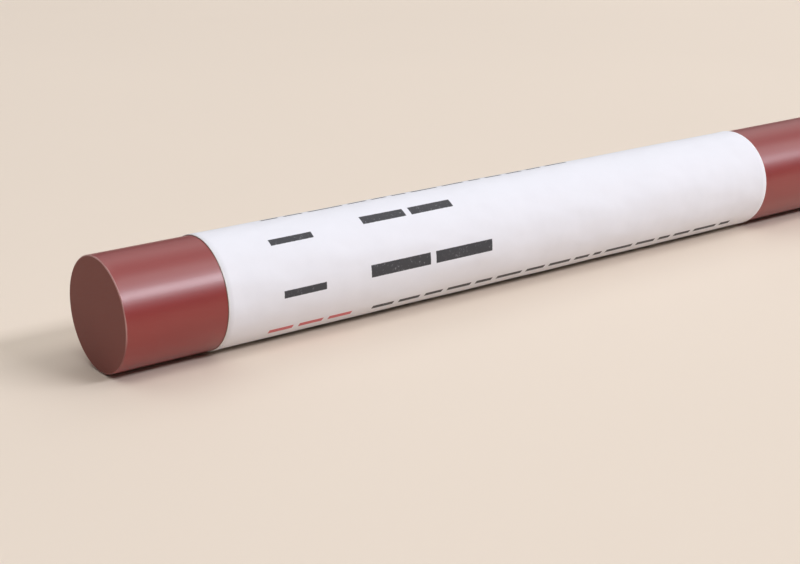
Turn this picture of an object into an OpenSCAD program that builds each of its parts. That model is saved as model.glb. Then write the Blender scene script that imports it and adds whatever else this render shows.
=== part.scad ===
// Furniture repair wax stick: a round stick of pigmented wax, cut square at both ends,
// with a self-adhesive paper label wound once round it and lapped over its own start.
// The stick lies along X, with the end that is bare for the shorter length at -X.
// The origin is on the surface that it lies on, under the middle of its length.
// Lengths are millimetres. Angles round the stick run from its back (+Y) up to its top (+Z).

/* [Wax stick] */
// Diameter of the wax stick
wax_d = 12; // [8:0.1:20]
// Bare length between the near cut end and the label
near_bare_length = 11.4; // [2:0.1:40]
// Bare length between the label and the far cut end
far_bare_length = 18.6; // [2:0.1:60]
// Width of the broken edge round each cut end
edge_break = 0.15; // [0.05:0.05:1]

/* [Label] */
// Length of the label along the stick
label_length = 80; // [20:0.5:150]
// Length by which the label laps over its own start
label_lap = 1.8; // [0.5:0.1:6]
// Thickness of the face paper
paper_t = 0.08; // [0.05:0.01:0.3]
// Thickness of the adhesive coat on the back of the paper
adhesive_t = 0.03; // [0.02:0.01:0.1]
// Angle round the stick at which the label leaves the wax to climb onto its own start
lap_angle = 43; // [0:1:80]

/* [Hidden] */
// Steps to a full circle
$fn = 360;

// Wax stick
wax_r = wax_d / 2;
stick_length = near_bare_length + label_length + far_bare_length;

// Label: the adhesive lies on the wax and the paper on the adhesive
label_t = adhesive_t + paper_t;
adhesive_r = wax_r + adhesive_t;
label_r = wax_r + label_t;
label_start = near_bare_length - stick_length / 2;

// The label leaves the wax along a straight tangent and meets the corner of its own start
climb_sweep = acos(wax_r / label_r);
lap_sweep = label_lap / label_r * 180 / PI;

// Half the width of the shapes that cut the label's section, well outside it
cut_reach = 2 * label_r;

// Lays a shape that is drawn upwards along the stick, from one place on its axis
module along_stick(start) {
    translate([start, 0, label_r]) rotate([90, 0, 90]) children();
}

// A sector of the section, from one angle to another
module sector(from, to) {
    polygon([[0, 0], cut_reach * [cos(from), sin(from)], cut_reach * [cos(to), sin(to)]]);
}

// All that lies under a layer of the lapped end: flat along the climb, then round one label higher
module under_lap(r) {
    intersection() {
        circle(r = r + label_t);
        translate([-cut_reach, -cut_reach]) square([cut_reach + r, 2 * cut_reach]);
    }
}

// Section of one layer of the label, with its climb starting at angle 0 and going clockwise
module wound_layer(inner_r, outer_r) {
    difference() {
        circle(r = outer_r);
        circle(r = inner_r);
        sector(-climb_sweep, 0);
    }
    intersection() {
        difference() {
            under_lap(outer_r);
            under_lap(inner_r);
        }
        sector(-climb_sweep - lap_sweep, 0);
    }
}

module label_layer(inner_r, outer_r) {
    along_stick(label_start)
        rotate(lap_angle) linear_extrude(label_length) wound_layer(inner_r, outer_r);
}

module wax_stick() {
    color("#96504a") along_stick(-stick_length / 2) rotate_extrude() polygon([
        [0, 0],
        [wax_r - edge_break, 0],
        [wax_r, edge_break],
        [wax_r, stick_length - edge_break],
        [wax_r - edge_break, stick_length],
        [0, stick_length]
    ]);
}

module label_adhesive() {
    color("#d9d2c4") label_layer(wax_r, adhesive_r);
}

module label_paper() {
    color("#efedf2") label_layer(adhesive_r, label_r);
}

wax_stick();
label_adhesive();
label_paper();
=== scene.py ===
"""The looks of a furniture repair wax stick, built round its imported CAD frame.

The stick lies along X on the floor. Angles round it run from its back (+Y) up to its top (+Z).
The label is described as the flat sheet that it was before it was wound: along the stick from its
near edge, and up from the edge that was stuck down first.
"""

import math

import bmesh
import bpy
import numpy as np
from bpy.props import FloatProperty, FloatVectorProperty, PointerProperty
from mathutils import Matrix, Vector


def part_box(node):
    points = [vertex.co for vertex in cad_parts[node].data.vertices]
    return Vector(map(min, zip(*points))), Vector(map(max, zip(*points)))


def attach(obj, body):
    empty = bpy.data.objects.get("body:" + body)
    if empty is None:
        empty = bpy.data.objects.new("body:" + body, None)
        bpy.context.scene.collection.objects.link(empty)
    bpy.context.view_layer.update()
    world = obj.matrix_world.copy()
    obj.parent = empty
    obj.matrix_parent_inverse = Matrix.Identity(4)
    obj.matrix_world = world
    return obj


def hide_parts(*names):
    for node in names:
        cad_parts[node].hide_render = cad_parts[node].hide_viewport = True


bl_info = {
    "name": "Furniture Repair Wax Stick",
    "version": (1, 0, 0),
    "blender": (4, 5, 0),
    "location": "View3D > Sidebar > Wax Stick",
    "description": "Builds the wax, the label and the studio round the stick's fixed frame",
    "category": "Object",
}

MM = 0.001
SHARP_ANGLE = math.radians(50)

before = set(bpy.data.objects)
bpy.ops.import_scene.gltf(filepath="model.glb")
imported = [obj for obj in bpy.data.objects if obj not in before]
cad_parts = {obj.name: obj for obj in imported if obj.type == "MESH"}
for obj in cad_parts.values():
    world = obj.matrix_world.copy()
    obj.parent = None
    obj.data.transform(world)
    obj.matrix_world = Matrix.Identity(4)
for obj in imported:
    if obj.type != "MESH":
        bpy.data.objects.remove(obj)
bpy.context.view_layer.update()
WAX_LOW, WAX_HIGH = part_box("wax_stick")
LABEL_LOW, LABEL_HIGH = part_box("label_paper")
AXIS_HEIGHT = (WAX_LOW.z + WAX_HIGH.z) / 2
WAX_RADIUS = (WAX_HIGH.z - WAX_LOW.z) / 2


# Properties that a user would change


def length(name, description, default):
    """A size in metres, shown in the scene's unit."""
    return FloatProperty(
        name=name, description=description, default=default, unit="LENGTH", precision=5
    )


def colour(name, description, default):
    """A linear colour."""
    return FloatVectorProperty(
        name=name, description=description, default=default, subtype="COLOR", size=3, min=0, max=1
    )


def share(name, description, default):
    """A number from 0 to 1."""
    return FloatProperty(
        name=name, description=description, default=default, subtype="FACTOR", min=0, max=1
    )


def strength(name, description, default):
    """A level of light."""
    return FloatProperty(name=name, description=description, default=default, min=0)


class WaxSettings(bpy.types.PropertyGroup):
    """Sizes and colours of the wax."""

    radius: length("Radius", "Radius of the stick", WAX_RADIUS)
    edge_round: length("Edge round", "Radius of the broken edge round each cut end", 0.12 * MM)
    unevenness: length("Unevenness", "Depth of the slow waves in the cast surface", 0.012 * MM)
    knife_depth: length("Knife depth", "Depth of the blade's marks on the ends", 0.012 * MM)
    skin: colour("Skin", "Colour of the smooth side", (0.244, 0.006, 0.0035))
    cut: colour("Cut", "Colour of the cut ends", (0.237, 0.0655, 0.0535))
    # Colour of rubbed wax, and also painted highlight, along the ends' broken edges
    rim_scuff_and_highlight: colour("Scuff", "Colour of rubbed wax along the edges", (0.52, 0.27, 0.25))
    skin_roughness: share("Skin roughness", "Roughness of the smooth side", 0.42)
    cut_roughness: share("Cut roughness", "Roughness of the cut ends", 0.62)


class LabelSettings(bpy.types.PropertyGroup):
    """Sizes and colours of the label and its adhesive."""

    paper: length("Paper", "Thickness of the face paper", 0.08 * MM)
    adhesive: length("Adhesive", "Thickness of the adhesive coat", 0.03 * MM)
    lap: length("Lap", "Length by which the label laps over its own start", 1.8 * MM)
    lap_angle: FloatProperty(
        name="Lap angle",
        description="Angle at which the label leaves the wax to climb onto its own start",
        default=math.radians(43),
        subtype="ANGLE",
    )
    edge_round: length("Edge round", "Width of the worn corner along the cut edges", 0.03 * MM)
    ripple: length("Ripple", "Depth of the slow ripples in the wound paper", 0.05 * MM)
    flat_edge: length("Flat edge", "Width along the edges where the ripples die out", 1.5 * MM)
    lift: length("Lift", "Height by which the lapped edge springs up", 0.03 * MM)
    ooze: length("Ooze", "Width of the adhesive that has crept out at the edges", 0.06 * MM)
    face: colour("Face", "Colour of the coated paper", (0.815, 0.808, 0.85))
    # The fibre colour also lightens the face along the label's ends, partly as painted highlight
    fibre: colour("Fibre", "Colour of the paper's cut edges", (0.93, 0.92, 0.92))
    # Colour of the adhesive, darkened also as painted shade along the label's edges
    glue_and_shade: colour("Glue", "Colour of the adhesive", (0.34, 0.27, 0.2))
    ink: colour("Ink", "Colour of the black print", (0.012, 0.012, 0.015))
    heading_ink: colour("Heading ink", "Colour of the red heading", (0.6, 0.07, 0.075))
    face_roughness: share("Face roughness", "Roughness of the coated paper", 0.55)


class StudioSettings(bpy.types.PropertyGroup):
    """The floor, the lights and the camera."""

    floor: colour("Floor", "Colour of the floor", (0.793, 0.684, 0.575))
    ambient: strength("Ambient", "Strength of the light from all round", 0.12)
    overhead: strength("Overhead", "Radiance of the softbox above", 0.62)
    upper: strength("Upper", "Radiance of the softbox high in front", 1.72)
    key: strength("Key", "Radiance of the bright strip at the front right", 18.4)
    key_tint: colour("Key tint", "Slightly cool colour of the bright strip", (0.907, 0.921, 1.0))
    back: strength("Back", "Radiance of the softbox behind", 0.39)
    camera_place: FloatVectorProperty(
        name="Camera place",
        description="Where the camera stands",
        default=(-122.1 * MM, -137.62 * MM, 57.7 * MM),
        subtype="TRANSLATION",
        size=3,
        precision=5,
    )
    azimuth: FloatProperty(
        name="Azimuth",
        description="Turn of the view from +Y towards +X",
        default=math.radians(37.187),
        subtype="ANGLE",
    )
    elevation: FloatProperty(
        name="Elevation",
        description="How steeply the camera looks down",
        default=math.radians(17.788),
        subtype="ANGLE",
    )
    lens: FloatProperty(
        name="Lens",
        description="Focal length in millimetres on a 36 mm sensor",
        default=72.84,
        min=10,
    )


# Shader maths


class Value:
    """A shader value. Expressions of values and numbers add Math nodes to its finish."""

    def __init__(self, finish, socket):
        self.finish = finish
        self.socket = socket

    def __add__(self, other):
        return self.finish.math("ADD", self, other)

    __radd__ = __add__

    def __sub__(self, other):
        return self.finish.math("SUBTRACT", self, other)

    def __rsub__(self, other):
        return self.finish.math("SUBTRACT", other, self)

    def __mul__(self, other):
        return self.finish.math("MULTIPLY", self, other)

    __rmul__ = __mul__

    def __truediv__(self, other):
        return self.finish.math("DIVIDE", self, other)

    def __rtruediv__(self, other):
        return self.finish.math("DIVIDE", other, self)

    def __pow__(self, other):
        return self.finish.math("POWER", self, other)

    def __rpow__(self, other):
        return self.finish.math("POWER", other, self)

    def __abs__(self):
        return self.finish.math("ABSOLUTE", self)

    def floor(self):
        return self.finish.math("FLOOR", self)

    def least(self, other):
        return self.finish.math("MINIMUM", self, other)

    def most(self, other):
        return self.finish.math("MAXIMUM", self, other)


# Places of the colours among the inputs of a Mix node, and of their mix among its outputs
MIX_A, MIX_B, MIX_RESULT = 6, 7, 2


class Finish:
    """A material whose nodes come from expressions and from node()."""

    def __init__(self, name):
        self.material = bpy.data.materials.new(name)
        self.material.use_nodes = True
        self.tree = self.material.node_tree
        self.shader = self.tree.nodes["Principled BSDF"]

    def node(self, kind, settings=None, sockets=None, output=0):
        """Adds a node, sets its settings, then its sockets' values or links. Returns one output."""
        made = self.tree.nodes.new(kind)
        for name, setting in (settings or {}).items():
            setattr(made, name, setting)
        for name, value in (sockets or {}).items():
            self.feed(made.inputs[name], value)
        return Value(self, made.outputs[output])

    def feed(self, socket, value):
        if isinstance(value, Value):
            self.tree.links.new(value.socket, socket)
        else:
            socket.default_value = value

    def math(self, operation, *values):
        return self.node("ShaderNodeMath", {"operation": operation}, dict(enumerate(values)))

    def place(self):
        """Where the surface is, in millimetres."""
        metres = self.node("ShaderNodeTexCoord", output="Object")
        return self.stretch(metres, (1 / MM, 1 / MM, 1 / MM))

    def stretch(self, vector, factors):
        return self.node("ShaderNodeVectorMath", {"operation": "MULTIPLY"}, {0: vector, 1: factors})

    def join(self, x, y):
        return self.node("ShaderNodeCombineXYZ", sockets={0: x, 1: y})

    def split(self, vector):
        parts = self.node("ShaderNodeSeparateXYZ", sockets={0: vector}).socket.node
        return [Value(self, out) for out in parts.outputs]

    def noise(self, vector, scale, detail=2.0, roughness=0.5):
        return self.node(
            "ShaderNodeTexNoise",
            {"noise_dimensions": "3D"},
            {"Vector": vector, "Scale": scale, "Detail": detail, "Roughness": roughness},
        )

    def smooth(self, value, low, high, at_low=0.0, at_high=1.0):
        """Goes from at_low to at_high as value goes from low to high."""
        return self.node(
            "ShaderNodeMapRange",
            {"interpolation_type": "SMOOTHSTEP"},
            {
                "Value": value,
                "From Min": low,
                "From Max": high,
                "To Min": at_low,
                "To Max": at_high,
            },
        )

    def mix(self, factor, a, b):
        """Colour a where factor is 0 and b where it is 1."""
        a, b = ((*c, 1) if not isinstance(c, Value) else c for c in (a, b))
        return self.node(
            "ShaderNodeMix",
            {"data_type": "RGBA"},
            {0: factor, MIX_A: a, MIX_B: b},
            output=MIX_RESULT,
        )

    def dim(self, tint, factor):
        """A colour made darker or lighter by a value."""
        return self.node(
            "ShaderNodeVectorMath", {"operation": "SCALE"}, {0: tint, "Scale": factor}
        )

    def bump(self, height, depth):
        """A normal for a relief that is this deep where its height is 1."""
        return self.node(
            "ShaderNodeBump", sockets={"Height": height, "Distance": depth, "Strength": 1.0}
        )

    def surface(self, **sockets):
        """Sets the shader's own sockets, such as base_color for Base Color."""
        for name, value in sockets.items():
            title = name.replace("_", " ").title().replace("Ior", "IOR")
            self.feed(self.shader.inputs[title], value)
        return self.material


def vary(noise, amount):
    """A noise from 0 to 1 as a change either way, by half the amount at most."""
    return amount * (noise - 0.5)


# Mesh helpers


def waves(seed, count, lowest, highest):
    """A smooth random surface from 0 to 1: a seeded sum of sines that closes over a turn of v."""
    draw = np.random.default_rng(seed)
    turns = draw.uniform(lowest, highest, (count, 2)) * draw.choice([-1, 1], (count, 2))
    turns[:, 1] = np.round(turns[:, 1])
    phases = draw.uniform(0, 2 * math.pi, count)

    def height(u, v):
        total = sum(np.sin(a * u + b * v + phase) for (a, b), phase in zip(turns, phases))
        return 0.5 + 0.5 * np.clip(total / math.sqrt(count) / 2, -1, 1)

    return height


def round_the_stick(angles, radii):
    """Y and Z of points at these angles and distances from the stick's axis."""
    return radii * np.cos(angles), AXIS_HEIGHT + radii * np.sin(angles)


def add_piece(name, points, faces, materials, face_materials=None):
    """A smooth-shaded mesh object with its normals outward."""
    mesh = bpy.data.meshes.new(name)
    mesh.from_pydata([tuple(p) for p in points], [], faces)
    for material in materials:
        mesh.materials.append(material)
    if face_materials is not None:
        mesh.polygons.foreach_set("material_index", face_materials)
    shape = bmesh.new()
    shape.from_mesh(mesh)
    bmesh.ops.recalc_face_normals(shape, faces=shape.faces)
    shape.to_mesh(mesh)
    shape.free()
    mesh.shade_smooth()
    mesh.set_sharp_from_angle(angle=SHARP_ANGLE)
    piece = bpy.data.objects.new(name, mesh)
    bpy.context.scene.collection.objects.link(piece)
    return piece


def join_frame(piece, node):
    """The piece moves with the stick and stands for one CAD node."""
    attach(piece, "root")
    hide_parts(node)


# Wax


FACE_RINGS = 14
EDGE_RINGS = 7
END_RINGS = FACE_RINGS + EDGE_RINGS
BODY_RINGS = 111
STEPS_ROUND = 240

# Slow waves of the cast side, and how fast they run along it
SAG_WAVES = {"seed": 3, "count": 9, "lowest": 1, "highest": 3}
SAG_PER_MM = 0.09

# Marks of the blade on a cut face: the direction across its stroke as parts of Y and Z, ridges that
# are long in the stroke, a slow drift under them, and the share of the depth that each has
ACROSS_STROKE = (0.35, 0.94)
RIDGE_WAVES = {"count": 6, "lowest": 0.6, "highest": 3.2}
RIDGE_STRETCH = 0.06
RIDGE_SHARE = 0.6
DRIFT_WAVES = {"count": 4, "lowest": 0.15, "highest": 0.5}
DRIFT_SHARE = 0.4
NEAR_CUT_SEED = 11
FAR_CUT_SEED = 17

# Turn of the fine drag lines in the finish of the cut ends
STROKE_TURN = math.radians(20)

WAX_IOR = 1.45


def wax_profile(settings):
    """Rings of one end of the lathed outline: depth from its cut face, distance from the axis."""
    edge_round = settings.edge_round
    flat = settings.radius - edge_round
    rings = []
    for ring in range(1, FACE_RINGS + 1):
        turn = math.pi / 2 * ring / FACE_RINGS
        rings.append((0.0, flat * math.sin(turn)))
    for ring in range(1, EDGE_RINGS + 1):
        turn = math.pi / 2 * ring / EDGE_RINGS
        rings.append((edge_round * (1 - math.cos(turn)), flat + edge_round * math.sin(turn)))
    return rings


def wax_rings(settings):
    """Place along X and distance from the axis of all rings, from the near face to the far one."""
    end = wax_profile(settings)
    body = np.linspace(
        WAX_LOW.x + settings.edge_round, WAX_HIGH.x - settings.edge_round, BODY_RINGS + 2
    )[1:-1]
    along = [WAX_LOW.x + depth for depth, _ in end]
    along += list(body)
    along += [WAX_HIGH.x - depth for depth, _ in reversed(end)]
    radii = [r for _, r in end] + [settings.radius] * BODY_RINGS + [r for _, r in reversed(end)]
    return np.array(along), np.array(radii)


def knife_marks(y, z, settings, seed):
    """Depth of the blade's drag marks over a cut face."""
    ridges = waves(seed, **RIDGE_WAVES)
    drift = waves(seed + 1, **DRIFT_WAVES)
    part_y, part_z = ACROSS_STROKE
    across = (part_y * y + part_z * z) / MM
    along = (part_z * y - part_y * z) / MM
    depth = RIDGE_SHARE * ridges(across, RIDGE_STRETCH * along)
    depth += DRIFT_SHARE * drift(across, along)
    return settings.knife_depth * depth


def wax_points(settings):
    """A grid of points over the wax, ring by ring, with its waves and its knife marks."""
    along, radii = wax_rings(settings)
    angles = np.arange(STEPS_ROUND) * 2 * math.pi / STEPS_ROUND
    x = np.repeat(along[:, None], STEPS_ROUND, axis=1)
    r = np.repeat(radii[:, None], STEPS_ROUND, axis=1)
    body = slice(END_RINGS - 1, len(along) - END_RINGS + 1)
    sag = waves(**SAG_WAVES)(SAG_PER_MM * x / MM, angles)
    r[body] -= settings.unevenness * sag[body]
    near, far = slice(0, END_RINGS), slice(-END_RINGS, None)
    for end, inward, seed in ((near, 1, NEAR_CUT_SEED), (far, -1, FAR_CUT_SEED)):
        y, z = r[end] * np.cos(angles), r[end] * np.sin(angles)
        x[end] += inward * knife_marks(y, z, settings, seed)
    y, z = round_the_stick(angles, r)
    return np.stack([x, y, z], axis=-1)


def wax_faces(rings):
    """A fan on each cut face and quads from ring to ring, with 1 for the faces of the cut ends."""
    def at(ring, step):
        return ring * STEPS_ROUND + step % STEPS_ROUND

    near, far = rings * STEPS_ROUND, rings * STEPS_ROUND + 1
    faces = [(near, at(0, s), at(0, s + 1)) for s in range(STEPS_ROUND)]
    faces += [(far, at(rings - 1, s), at(rings - 1, s + 1)) for s in range(STEPS_ROUND)]
    kinds = [1] * len(faces)
    for ring in range(rings - 1):
        cut = ring < FACE_RINGS - 1 or ring >= rings - FACE_RINGS
        for s in range(STEPS_ROUND):
            faces.append((at(ring, s), at(ring + 1, s), at(ring + 1, s + 1), at(ring, s + 1)))
            kinds.append(int(cut))
    return faces, kinds


def edge_scuff_and_highlight(finish, place, settings):
    """Near 1 along the ends' broken edges: rubbed paler wax and painted highlight of light caught
    on the edge, less towards the bottom where the edge catches less light.
    """
    x, y, z = finish.split(place)
    up = z - AXIS_HEIGHT / MM
    radius = (y * y + up * up) ** 0.5
    end = abs(x - (WAX_LOW.x + WAX_HIGH.x) / 2 / MM)
    reach = (WAX_HIGH.x - WAX_LOW.x) / 2 / MM
    broken = settings.edge_round / MM
    corner = (radius - settings.radius / MM) + (end - reach)
    rubbed = vary(finish.noise(place, scale=0.9, detail=4), 0.12)
    line = finish.smooth(corner + rubbed, low=-1.3 * broken, high=-0.7 * broken)
    # Painted highlight: less towards the bottom, where the edge catches less light
    return line * finish.smooth(up, low=-3.0, high=0.5, at_low=0.08, at_high=1.0)


def wax_skin(settings):
    """Cast pigmented wax: satin, with faint lengthwise drawing lines and slow blotches."""
    finish = Finish("wax_skin")
    place = finish.place()
    blotches = finish.noise(place, scale=0.22, detail=3)
    lines = finish.noise(finish.stretch(place, (0.03, 1, 1)), scale=3.2, detail=3)
    grain = finish.noise(place, scale=9.0, detail=3, roughness=0.6)
    dimples = finish.noise(place, scale=0.8, detail=2)
    tone = 0.94 + 0.1 * blotches + vary(lines, 0.04)
    # Paler rim along the cut edges: partly rubbed wax, partly painted highlight
    tint = finish.mix(0.85 * edge_scuff_and_highlight(finish, place, settings), settings.skin, settings.rim_scuff_and_highlight)
    relief = 0.5 * lines + 0.3 * grain + 0.4 * dimples
    return finish.surface(
        base_color=finish.dim(tint, tone),
        roughness=settings.skin_roughness + vary(blotches, 0.08) + vary(lines, 0.06),
        normal=finish.bump(relief, depth=0.006 * MM),
        ior=WAX_IOR,
        specular_ior_level=0.85,
        coat_weight=0.65,
        coat_roughness=0.29,
        coat_ior=WAX_IOR,
    )


def wax_cut(settings):
    """Wax where the stick was cut: dull, crossed by the blade's fine drag lines."""
    finish = Finish("wax_cut")
    place = finish.place()
    stroke = finish.node(
        "ShaderNodeVectorRotate",
        {"rotation_type": "X_AXIS"},
        {"Vector": place, "Angle": STROKE_TURN},
    )
    drag = finish.noise(finish.stretch(stroke, (1, 0.08, 1)), scale=5.0, detail=4, roughness=0.6)
    crumbs = finish.noise(place, scale=6.0, detail=4, roughness=0.65)
    blotches = finish.noise(place, scale=0.3, detail=2)
    tone = 0.9 + 0.1 * blotches + vary(drag, 0.1) + vary(crumbs, 0.08)
    # Paler rim along the cut edges: partly rubbed wax, partly painted highlight
    tint = finish.mix(0.25 * edge_scuff_and_highlight(finish, place, settings), settings.cut, settings.rim_scuff_and_highlight)
    return finish.surface(
        base_color=finish.dim(tint, tone),
        roughness=settings.cut_roughness + vary(drag, 0.14),
        normal=finish.bump(0.7 * drag + 0.3 * crumbs, depth=0.012 * MM),
        ior=WAX_IOR,
    )


class WAXSTICK_OT_build_wax(bpy.types.Operator):
    """Builds the round stick of wax with its two cut ends."""

    bl_idname = "waxstick.build_wax"
    bl_label = "Wax"

    def execute(self, context):
        settings = context.scene.wax_settings
        points = wax_points(settings)
        rings = len(points)
        middles = [(points[end, :, 0].mean(), 0.0, AXIS_HEIGHT) for end in (0, rings - 1)]
        faces, kinds = wax_faces(rings)
        piece = add_piece(
            "wax_body",
            np.concatenate([points.reshape(-1, 3), middles]),
            faces,
            [wax_skin(settings), wax_cut(settings)],
            kinds,
        )
        join_frame(piece, "wax_stick")
        return {"FINISHED"}


# Label


CELLS_ALONG = 120
CELLS_ROUND = 252

# Slow ripples of the paper, and how fast they run along the stick
RIPPLE_WAVES = {"seed": 23, "count": 8, "lowest": 2, "highest": 6}
RIPPLES_PER_MM = 0.1

# Wander of the adhesive's edges round the stick
OOZE_WAVES = {"count": 12, "lowest": 2, "highest": 16}
NEAR_OOZE_SEED = 41
FAR_OOZE_SEED = 43

PAPER_IOR = 1.45
# Dark dust on the adhesive, also painted shade along the label's edges
DUST_AND_SHADE = (0.12, 0.07, 0.06)

# How far the print wanders on the paper, in millimetres, and how well each ink covers it
PRINT_WANDER = 0.06
RED_COVER = 0.88
BLACK_COVER = 0.94

# Relief of the slack in the wound paper, as a multiple of the depth of the paper's own grain
SLACK_RELIEF = 150


class WoundSheet:
    """The way the label is wound: once round the stick, then up onto its own start."""

    def __init__(self, settings, wax_radius):
        self.thickness = settings.paper + settings.adhesive
        outside = wax_radius + self.thickness
        self.climb = math.acos(wax_radius / outside)
        self.full_turn = 2 * math.pi
        self.sweep = self.full_turn + settings.lap / outside
        self.start = settings.lap_angle + self.full_turn - self.climb
        self.radius = outside
        self.height = self.sweep * outside
        self.lift = settings.lift

    def angle(self, turned):
        return self.start - turned

    def rise(self, turned):
        """How far the sheet stands off its first layer after it has turned so far."""
        climbed = np.clip((turned - self.full_turn) / self.climb + 1, 0, 1)
        lapped = np.clip((turned - self.full_turn) / (self.sweep - self.full_turn), 0, 1)
        return self.thickness * np.sin(math.pi / 2 * climbed) ** 2 + self.lift * lapped**2


def sheet_rim():
    """Grid places along the sheet's four edges, in one loop."""
    rim = [(i, 0) for i in range(CELLS_ALONG)]
    rim += [(CELLS_ALONG, j) for j in range(CELLS_ROUND)]
    rim += [(i, CELLS_ROUND) for i in range(CELLS_ALONG, 0, -1)]
    rim += [(0, j) for j in range(CELLS_ROUND, 0, -1)]
    return rim


def wound_grid(sheet, radius, near, far, inset=0.0, dents=None):
    """Points of one side of the wound sheet, set in from its edges, and their flat places."""
    first, last = inset / radius, sheet.sweep - inset / radius
    turned = np.linspace(first, last, CELLS_ROUND + 1)[None, :]
    share_along = np.linspace(0, 1, CELLS_ALONG + 1)[:, None]
    low, high = near(turned) + inset, far(turned) - inset
    x = low + share_along * (high - low)
    angles = sheet.angle(turned) + 0 * x
    r = radius + sheet.rise(turned) + 0 * x
    if dents is not None:
        r -= dents(x, turned)
    points = np.stack([x, *round_the_stick(angles, r)], axis=-1)
    flat = np.stack(
        [(x - LABEL_LOW.x) / (LABEL_HIGH.x - LABEL_LOW.x), turned / sheet.sweep + 0 * x], axis=-1
    )
    return points, flat


def wound_shell(sheet, inner, outer, near, far, edge_round=0.0, dents=None):
    """Points and flat places of a thin closed sheet: outside, inside and the corner between."""
    grids = [
        wound_grid(sheet, outer, near, far, edge_round, dents),
        wound_grid(sheet, inner, near, far),
    ]
    corner = wound_grid(sheet, outer - edge_round, near, far)
    along, round_ = np.array(sheet_rim()).T
    points = [grid.reshape(-1, 3) for grid, _ in grids] + [corner[0][along, round_]]
    flat = [grid.reshape(-1, 2) for _, grid in grids] + [corner[1][along, round_]]
    return np.concatenate(points), np.concatenate(flat)


def shell_faces():
    """Faces of a thin closed sheet, with 1 for those of its cut edges."""
    across, count = CELLS_ROUND + 1, (CELLS_ALONG + 1) * (CELLS_ROUND + 1)

    def at(i, j, inside=0):
        return inside * count + i * across + j

    faces, kinds = [], []
    for inside in (0, 1):
        for i in range(CELLS_ALONG):
            for j in range(CELLS_ROUND):
                corners = [(i, j), (i + 1, j), (i + 1, j + 1), (i, j + 1)]
                faces.append(tuple(at(*c, inside) for c in corners))
                kinds.append(0)
    rim = sheet_rim()
    for here in range(len(rim)):
        there = (here + 1) % len(rim)
        edge_band, next_worn = 2 * count + here, 2 * count + there
        faces.append((at(*rim[here]), at(*rim[there]), next_worn, edge_band))
        faces.append((edge_band, next_worn, at(*rim[there], 1), at(*rim[here], 1)))
        kinds += [1, 1]
    return faces, kinds


def paper_dents(settings, sheet):
    """Depth of the ripples over the wound paper, which lies flat along its edges."""
    ripples = waves(**RIPPLE_WAVES)

    def depth(x, turned):
        from_ends = np.minimum(x - LABEL_LOW.x, LABEL_HIGH.x - x)
        from_sides = sheet.radius * np.minimum(turned, sheet.sweep - turned)
        loose = np.clip(np.minimum(from_ends, from_sides) / settings.flat_edge, 0, 1)
        return settings.ripple * loose * ripples(RIPPLES_PER_MM * x / MM, turned)

    return depth


def add_flat_map(piece, flat):
    """Keeps each point's place on the flat sheet as a UV map."""
    layer = piece.data.uv_layers.new(name="flat")
    corners = np.empty(len(piece.data.loops), np.int32)
    piece.data.loops.foreach_get("vertex_index", corners)
    layer.uv.foreach_set("vector", flat[corners].astype(np.float32).ravel())


def straight(place):
    """An edge that keeps to one place."""
    return lambda turned: place + 0 * turned


def uneven(place, width, seed):
    """An edge that wanders outward from a place by up to a width."""
    wander = waves(seed, **OOZE_WAVES)
    return lambda turned: place + width * wander(turned, 0 * turned)


# Rows of dummy words, in millimetres on the flat sheet: start, end and middle height of the row,
# height of its bars, number of its words and how far the gaps move, as a share of a word's pitch
FIELD_ROWS = (
    (6.2, 12.2, 28.5, 0.8, 1, 0),
    (18.0, 31.0, 29.0, 1.1, 2, 0),
    (6.2, 12.2, 22.7, 0.8, 1, 0),
    (17.2, 34.6, 23.1, 1.35, 2, 0),
)
SMALL_ROWS = (
    (8.0, 52.0, 33.3, 0.5, 13, 0.6),
    (18.4, 75.6, 18.0, 0.6, 16, 0.6),
    (5.4, 75.6, 14.4, 0.6, 20, 0.6),
    (5.4, 58.5, 10.8, 0.6, 15, 0.6),
)
HEADING_ROWS = ((5.2, 16.4, 18.0, 0.65, 3, 0.3),)
# Gap between two words, and width over which the edge of a bar fades
WORD_GAP = 0.75
BLEED = 0.06


def words(finish, x, height, rows):
    """1 inside the bars that stand for the words of these rows."""
    ink = None
    for start, end, middle, tall, count, spread in rows:
        pitch = (end - start) / count
        cells = (x - start) / pitch
        cell = cells.floor()
        inside = (x - start).least(end - x)
        for border in (cell, cell + 1):
            chance = finish.node(
                "ShaderNodeTexWhiteNoise",
                {"noise_dimensions": "2D"},
                {"Vector": finish.join(border, middle)},
            )
            moved = vary(chance, spread * border.least(count - border).least(1))
            inside = inside.least(abs(cells - border - moved) * pitch - WORD_GAP / 2)
        inside = inside.least(tall / 2 - abs(height - middle))
        mark = finish.smooth(inside, -BLEED / 2, BLEED / 2)
        ink = mark if ink is None else ink.most(mark)
    return ink


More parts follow.
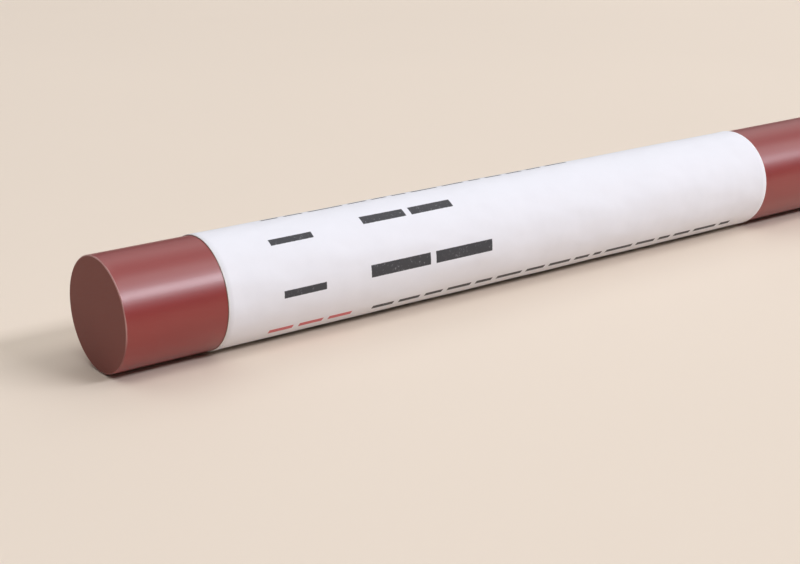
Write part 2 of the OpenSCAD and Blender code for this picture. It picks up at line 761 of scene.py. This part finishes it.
def label_face(settings, sheet):
    """Coated label paper with a low gloss, a faint fibre cloud, rows of printed bars and a paler
    band along its ends, partly worn fibre, partly painted highlight.
    """
    finish = Finish("label_face")
    place = finish.place()
    flat = finish.node("ShaderNodeUVMap", {"uv_map": "flat"})
    wide, high = (LABEL_HIGH.x - LABEL_LOW.x) / MM, sheet.height / MM
    x, height, _ = finish.split(finish.stretch(flat, (wide, high, 1)))
    height = height + vary(finish.noise(place, scale=7.0), PRINT_WANDER)
    x = x + vary(finish.noise(place, scale=6.0), PRINT_WANDER)
    specks = finish.noise(place, scale=3.2, detail=5, roughness=0.7)
    toner = finish.smooth(specks, low=0.3, high=0.44, at_low=0.82, at_high=1.0)
    black = toner * words(finish, x, height, FIELD_ROWS + SMALL_ROWS)
    red = toner * words(finish, x, height, HEADING_ROWS)
    cloud = finish.noise(place, scale=1.3, detail=5, roughness=0.65)
    fibres = finish.noise(finish.stretch(place, (0.35, 1, 1)), scale=11.0, detail=3)
    tone = 0.98 + 0.03 * cloud + vary(fibres, 0.012)
    # Paler band along the label's ends: partly worn fibre, partly painted highlight of the lit
    # paper edge
    edge_band = finish.smooth(x.least(wide - x), low=0.08, high=0.22, at_low=0.8, at_high=0.0)
    paper = finish.dim(finish.mix(edge_band, settings.face, settings.fibre), tone)
    printed = finish.mix(RED_COVER * red, paper, settings.heading_ink)
    printed = finish.mix(BLACK_COVER * black, printed, settings.ink)
    slack = finish.noise(finish.stretch(place, (0.7, 1, 1)), scale=0.14, detail=2)
    relief = 0.6 * fibres + 0.4 * cloud + 0.25 * black + SLACK_RELIEF * slack
    return finish.surface(
        base_color=printed,
        roughness=settings.face_roughness + vary(cloud, 0.1) - 0.06 * black,
        normal=finish.bump(relief, depth=0.004 * MM),
        ior=PAPER_IOR,
        specular_ior_level=0.25,
    )


def label_edge(settings):
    """The paper's cut edge: bare, matt fibre."""
    finish = Finish("label_edge")
    place = finish.place()
    fuzz = finish.noise(place, scale=14.0, detail=4, roughness=0.7)
    return finish.surface(
        base_color=finish.mix(0.35 * fuzz, settings.fibre, settings.face),
        roughness=0.82 + vary(fuzz, 0.1),
        normal=finish.bump(fuzz, depth=0.01 * MM),
    )


def glue_and_shade_coat(settings):
    """Soft adhesive that has taken up dust along its edges, kept dark also as painted shade: the
    thin dark line where the label meets the wax.
    """
    finish = Finish("label_glue_and_shade")
    place = finish.place()
    dust = finish.noise(place, scale=4.0, detail=5, roughness=0.7)
    # Dust on the adhesive, also painted shade along the label's edges
    dust_and_shade = 0.6 * finish.smooth(dust, low=0.4, high=0.7)
    return finish.surface(
        base_color=finish.mix(dust_and_shade, settings.glue_and_shade, DUST_AND_SHADE),
        roughness=0.4 + 0.3 * dust,
        normal=finish.bump(dust, depth=0.01 * MM),
    )


class WAXSTICK_OT_build_adhesive(bpy.types.Operator):
    """Builds the adhesive coat between the wax and the paper."""

    bl_idname = "waxstick.build_adhesive"
    bl_label = "Adhesive"

    def execute(self, context):
        label = context.scene.label_settings
        wax = context.scene.wax_settings
        sheet = WoundSheet(label, wax.radius)
        points, _ = wound_shell(
            sheet,
            wax.radius,
            wax.radius + label.adhesive,
            uneven(LABEL_LOW.x, -label.ooze, NEAR_OOZE_SEED),
            uneven(LABEL_HIGH.x, label.ooze, FAR_OOZE_SEED),
        )
        faces, _ = shell_faces()
        piece = add_piece("adhesive_coat", points, faces, [glue_and_shade_coat(label)])
        join_frame(piece, "label_adhesive")
        return {"FINISHED"}


class WAXSTICK_OT_build_label(bpy.types.Operator):
    """Builds the paper label, wound round the stick and lapped at the back."""

    bl_idname = "waxstick.build_label"
    bl_label = "Label"

    def execute(self, context):
        label = context.scene.label_settings
        wax = context.scene.wax_settings
        sheet = WoundSheet(label, wax.radius)
        inner = wax.radius + label.adhesive
        points, flat = wound_shell(
            sheet,
            inner,
            inner + label.paper,
            straight(LABEL_LOW.x),
            straight(LABEL_HIGH.x),
            label.edge_round,
            paper_dents(label, sheet),
        )
        faces, kinds = shell_faces()
        piece = add_piece(
            "paper_label", points, faces, [label_face(label, sheet), label_edge(label)], kinds
        )
        add_flat_map(piece, flat)
        join_frame(piece, "label_paper")
        return {"FINISHED"}


# Studio


FLOOR_SIZE = 20.0
SENSOR_WIDTH = 36.0
CLIP_START = 0.01
WHITE = (1.0, 1.0, 1.0)

# The softboxes lie along the stick. Middle along X, angle from the front up and over to the back,
# distance from the X axis, length along it and width, with lengths in metres
SOFTBOXES = {
    "overhead": (0.6, math.radians(103), 1.92, 3.6, 2.6),
    "upper": (0.9, math.radians(68), 2.0, 4.2, 0.9),
    "key": (1.3, math.radians(42.4), 2.0, 1.7, 0.38),
    "back": (0.9, math.radians(135), 2.0, 5.8, 1.8),
}


def floor_finish(settings):
    """Plain pale board with a faint cloud."""
    finish = Finish("floor")
    cloud = finish.noise(finish.place(), scale=0.01, detail=3)
    return finish.surface(
        base_color=finish.dim(settings.floor, 0.985 + 0.03 * cloud),
        roughness=0.6 + 0.1 * cloud,
        specular_ior_level=0.2,
    )


def add_floor(settings):
    half = FLOOR_SIZE / 2
    corners = [(-half, -half, 0), (half, -half, 0), (half, half, 0), (-half, half, 0)]
    floor = add_piece("floor", corners, [(0, 1, 2, 3)], [floor_finish(settings)])


def add_softbox(name, shape, radiance, tint):
    """A softbox that faces the X axis. Its power gives its whole face that radiance."""
    middle, angle, distance, long, wide = shape
    light = bpy.data.lights.new(name, "AREA")
    light.shape = "RECTANGLE"
    light.size, light.size_y = long, wide
    light.energy = radiance * math.pi * long * wide
    light.color = tint
    lamp = bpy.data.objects.new(name, light)
    bpy.context.scene.collection.objects.link(lamp)
    lamp.location = (middle, -distance * math.cos(angle), distance * math.sin(angle))
    lamp.rotation_euler = (math.pi / 2 - angle, 0, 0)


def add_camera(settings):
    data = bpy.data.cameras.new("camera")
    data.sensor_width = SENSOR_WIDTH
    data.lens = settings.lens
    data.clip_start = CLIP_START
    camera = bpy.data.objects.new("camera", data)
    bpy.context.scene.collection.objects.link(camera)
    camera.location = settings.camera_place
    camera.rotation_euler = (math.pi / 2 - settings.elevation, 0, -settings.azimuth)
    bpy.context.scene.camera = camera


class WAXSTICK_OT_build_studio(bpy.types.Operator):
    """Builds the floor, the soft light and the camera."""

    bl_idname = "waxstick.build_studio"
    bl_label = "Studio"

    def execute(self, context):
        settings = context.scene.studio_settings
        world = bpy.data.worlds.new("studio")
        world.use_nodes = True
        background = world.node_tree.nodes["Background"]
        background.inputs["Color"].default_value = (*WHITE, 1)
        background.inputs["Strength"].default_value = settings.ambient
        context.scene.world = world
        context.scene.view_settings.view_transform = "Standard"
        add_floor(settings)
        tints = {"key": settings.key_tint}
        for name, shape in SOFTBOXES.items():
            tint = tints.get(name, WHITE)
            add_softbox(f"{name}_softbox", shape, getattr(settings, name), tint)
        add_camera(settings)
        return {"FINISHED"}


# Panel


class WAXSTICK_PT_builder(bpy.types.Panel):
    """Lists the pieces of the wax stick and their settings."""

    bl_idname = "WAXSTICK_PT_builder"
    bl_label = "Wax Stick"
    bl_space_type = "VIEW_3D"
    bl_region_type = "UI"
    bl_category = "Wax Stick"

    def draw(self, context):
        for operators, group in PANEL_ROWS:
            for operator in operators:
                self.layout.operator(operator.bl_idname)
            settings = getattr(context.scene, group)
            for name in settings.bl_rna.properties.keys():
                if name not in ("rna_type", "name"):
                    self.layout.prop(settings, name)


GROUPS = {
    "wax_settings": WaxSettings,
    "label_settings": LabelSettings,
    "studio_settings": StudioSettings,
}
OPERATORS = (
    WAXSTICK_OT_build_wax,
    WAXSTICK_OT_build_adhesive,
    WAXSTICK_OT_build_label,
    WAXSTICK_OT_build_studio,
)
PANEL_ROWS = (
    (OPERATORS[:1], "wax_settings"),
    (OPERATORS[1:3], "label_settings"),
    (OPERATORS[3:], "studio_settings"),
)


def register():
    for cls in (*GROUPS.values(), *OPERATORS, WAXSTICK_PT_builder):
        bpy.utils.register_class(cls)
    for name, group in GROUPS.items():
        setattr(bpy.types.Scene, name, PointerProperty(type=group))


def unregister():
    for name in GROUPS:
        delattr(bpy.types.Scene, name)
    for cls in reversed((*GROUPS.values(), *OPERATORS, WAXSTICK_PT_builder)):
        bpy.utils.unregister_class(cls)


def main():
    register()
    bpy.ops.waxstick.build_wax()
    bpy.ops.waxstick.build_adhesive()
    bpy.ops.waxstick.build_label()
    bpy.ops.waxstick.build_studio()


if __name__ == "__main__":
    main()
